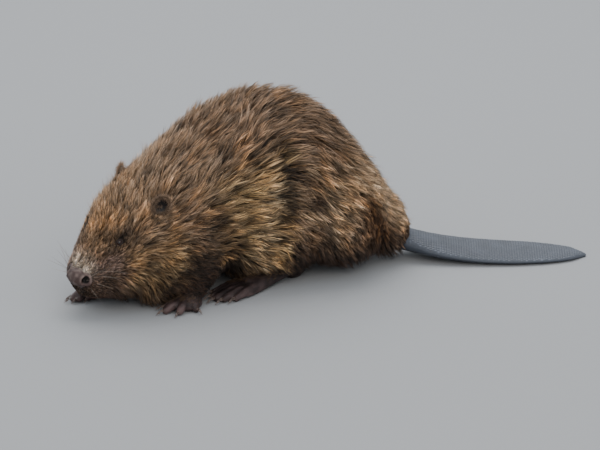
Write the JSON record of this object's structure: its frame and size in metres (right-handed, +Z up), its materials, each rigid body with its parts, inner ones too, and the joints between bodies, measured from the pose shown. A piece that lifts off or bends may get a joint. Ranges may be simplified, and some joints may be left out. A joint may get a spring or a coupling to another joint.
{
  "type": "beaver",
  "caption": "Life-size still beaver, walking low with its head turned to its left: shaggy golden-brown coat, small ears, webbed hind feet and a flat scaly tail laid on the floor.",
  "frame": {"origin": "on the floor, under the middle of the model's box", "axes": "+X is the way the trunk faces, from the tail to the head; +Y is the animal's left, towards which the head turns; +Z is up from the floor"},
  "size_m": [0.68, 0.2878, 0.2342],
  "materials": {
    "coat": "shaggy golden-brown fur in locks, darker at the roots and paler at the tips",
    "limb_coat": "short dark brown fur",
    "bare_skin": "bare mauve-brown skin of paws and webbed feet, slightly damp",
    "tail_scales": "slate-grey leathery scales with a dull sheen",
    "nose_leather": "bare mauve-brown nose pad, slightly damp",
    "ear_skin": "dark skin under very short fur",
    "eye": "wet, nearly black",
    "claw": "worn brown horn, paler at the tip"
  },
  "bodies": {
    "root": {"head": "coat", "neck": "coat", "trunk": "coat", "tail_base": "coat", "hindleg_left": "coat", "hindleg_right": "coat", "foreleg_left": "limb_coat", "foreleg_right": "limb_coat", "forepaw_left": "bare_skin", "forepaw_right": "bare_skin", "hind_foot_left": "bare_skin", "hind_foot_right": "bare_skin", "tail": "tail_scales", "nose": "nose_leather", "ear_left": "ear_skin", "ear_right": "ear_skin", "eye_left": "eye", "eye_right": "eye", "claw_forepaw_left_1": "claw", "claw_forepaw_left_2": "claw", "claw_forepaw_left_3": "claw", "claw_forepaw_left_4": "claw", "claw_forepaw_left_5": "claw", "claw_forepaw_right_1": "claw", "claw_forepaw_right_2": "claw", "claw_forepaw_right_3": "claw", "claw_forepaw_right_4": "claw", "claw_forepaw_right_5": "claw", "claw_hind_foot_left_1": "claw", "claw_hind_foot_left_2": "claw", "claw_hind_foot_left_3": "claw", "claw_hind_foot_left_4": "claw", "claw_hind_foot_left_5": "claw", "claw_hind_foot_right_1": "claw", "claw_hind_foot_right_2": "claw", "claw_hind_foot_right_3": "claw", "claw_hind_foot_right_4": "claw", "claw_hind_foot_right_5": "claw"}
  },
  "joints": []
}
